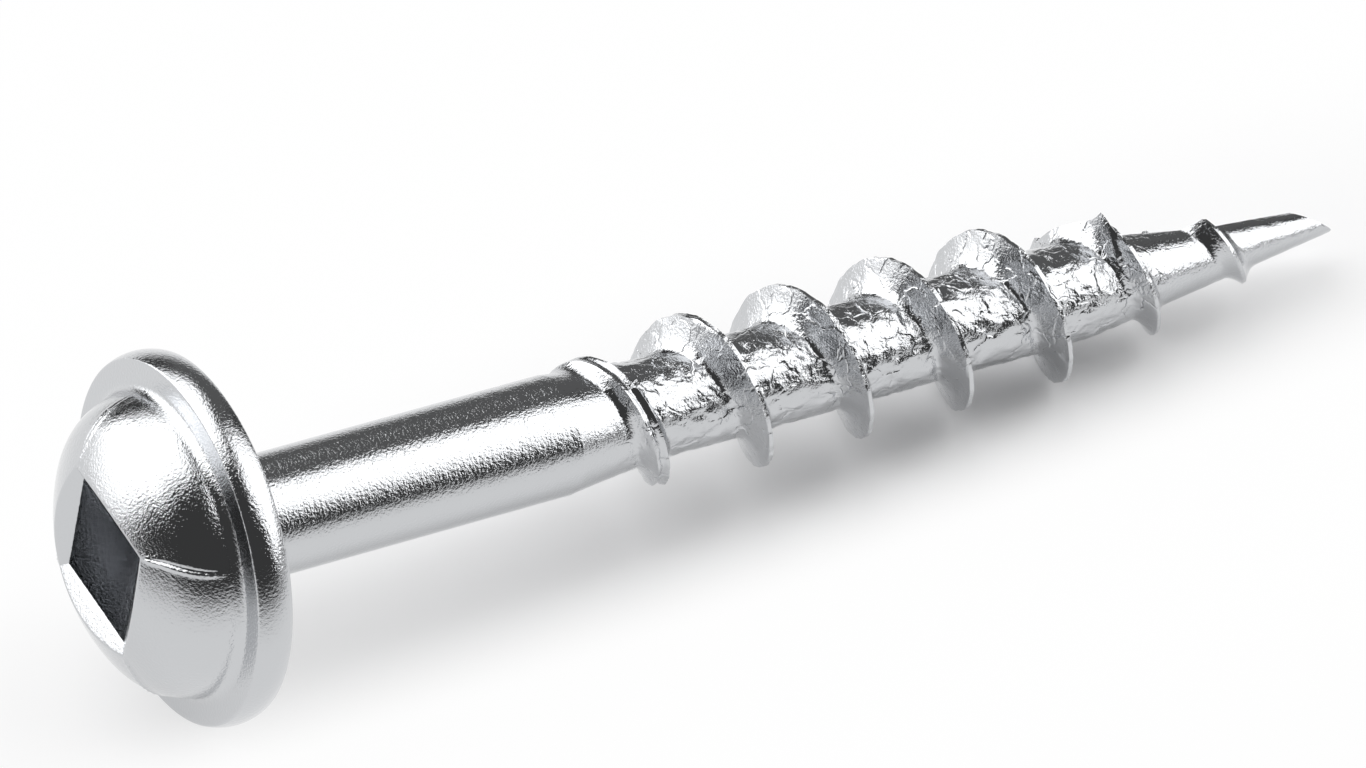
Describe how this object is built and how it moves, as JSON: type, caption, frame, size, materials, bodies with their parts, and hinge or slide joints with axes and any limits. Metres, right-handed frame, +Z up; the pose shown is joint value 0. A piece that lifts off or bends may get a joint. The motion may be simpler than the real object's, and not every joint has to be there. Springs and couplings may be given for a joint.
{
  "type": "pocket hole screw",
  "caption": "Coarse-thread pocket hole screw with a domed washer head, square drive recess, plain shank and auger point, lying on its side.",
  "frame": {"origin": "centre of the bearing face under the washer head", "axes": "+X from head to point along the floor, +Z up; the screw's own axis dips 5.85 degrees below +X, because it lies on its flange rim and one thread crest, with the floor at z = -4.51 mm"},
  "size_m": [0.0347, 0.0092, 0.0091],
  "materials": {
    "zinc_plated_steel": "bright zinc plating over hardened steel, smooth on head and shank, wrinkled between the threads"
  },
  "bodies": {
    "root": {"screw": "zinc_plated_steel"}
  },
  "joints": []
}
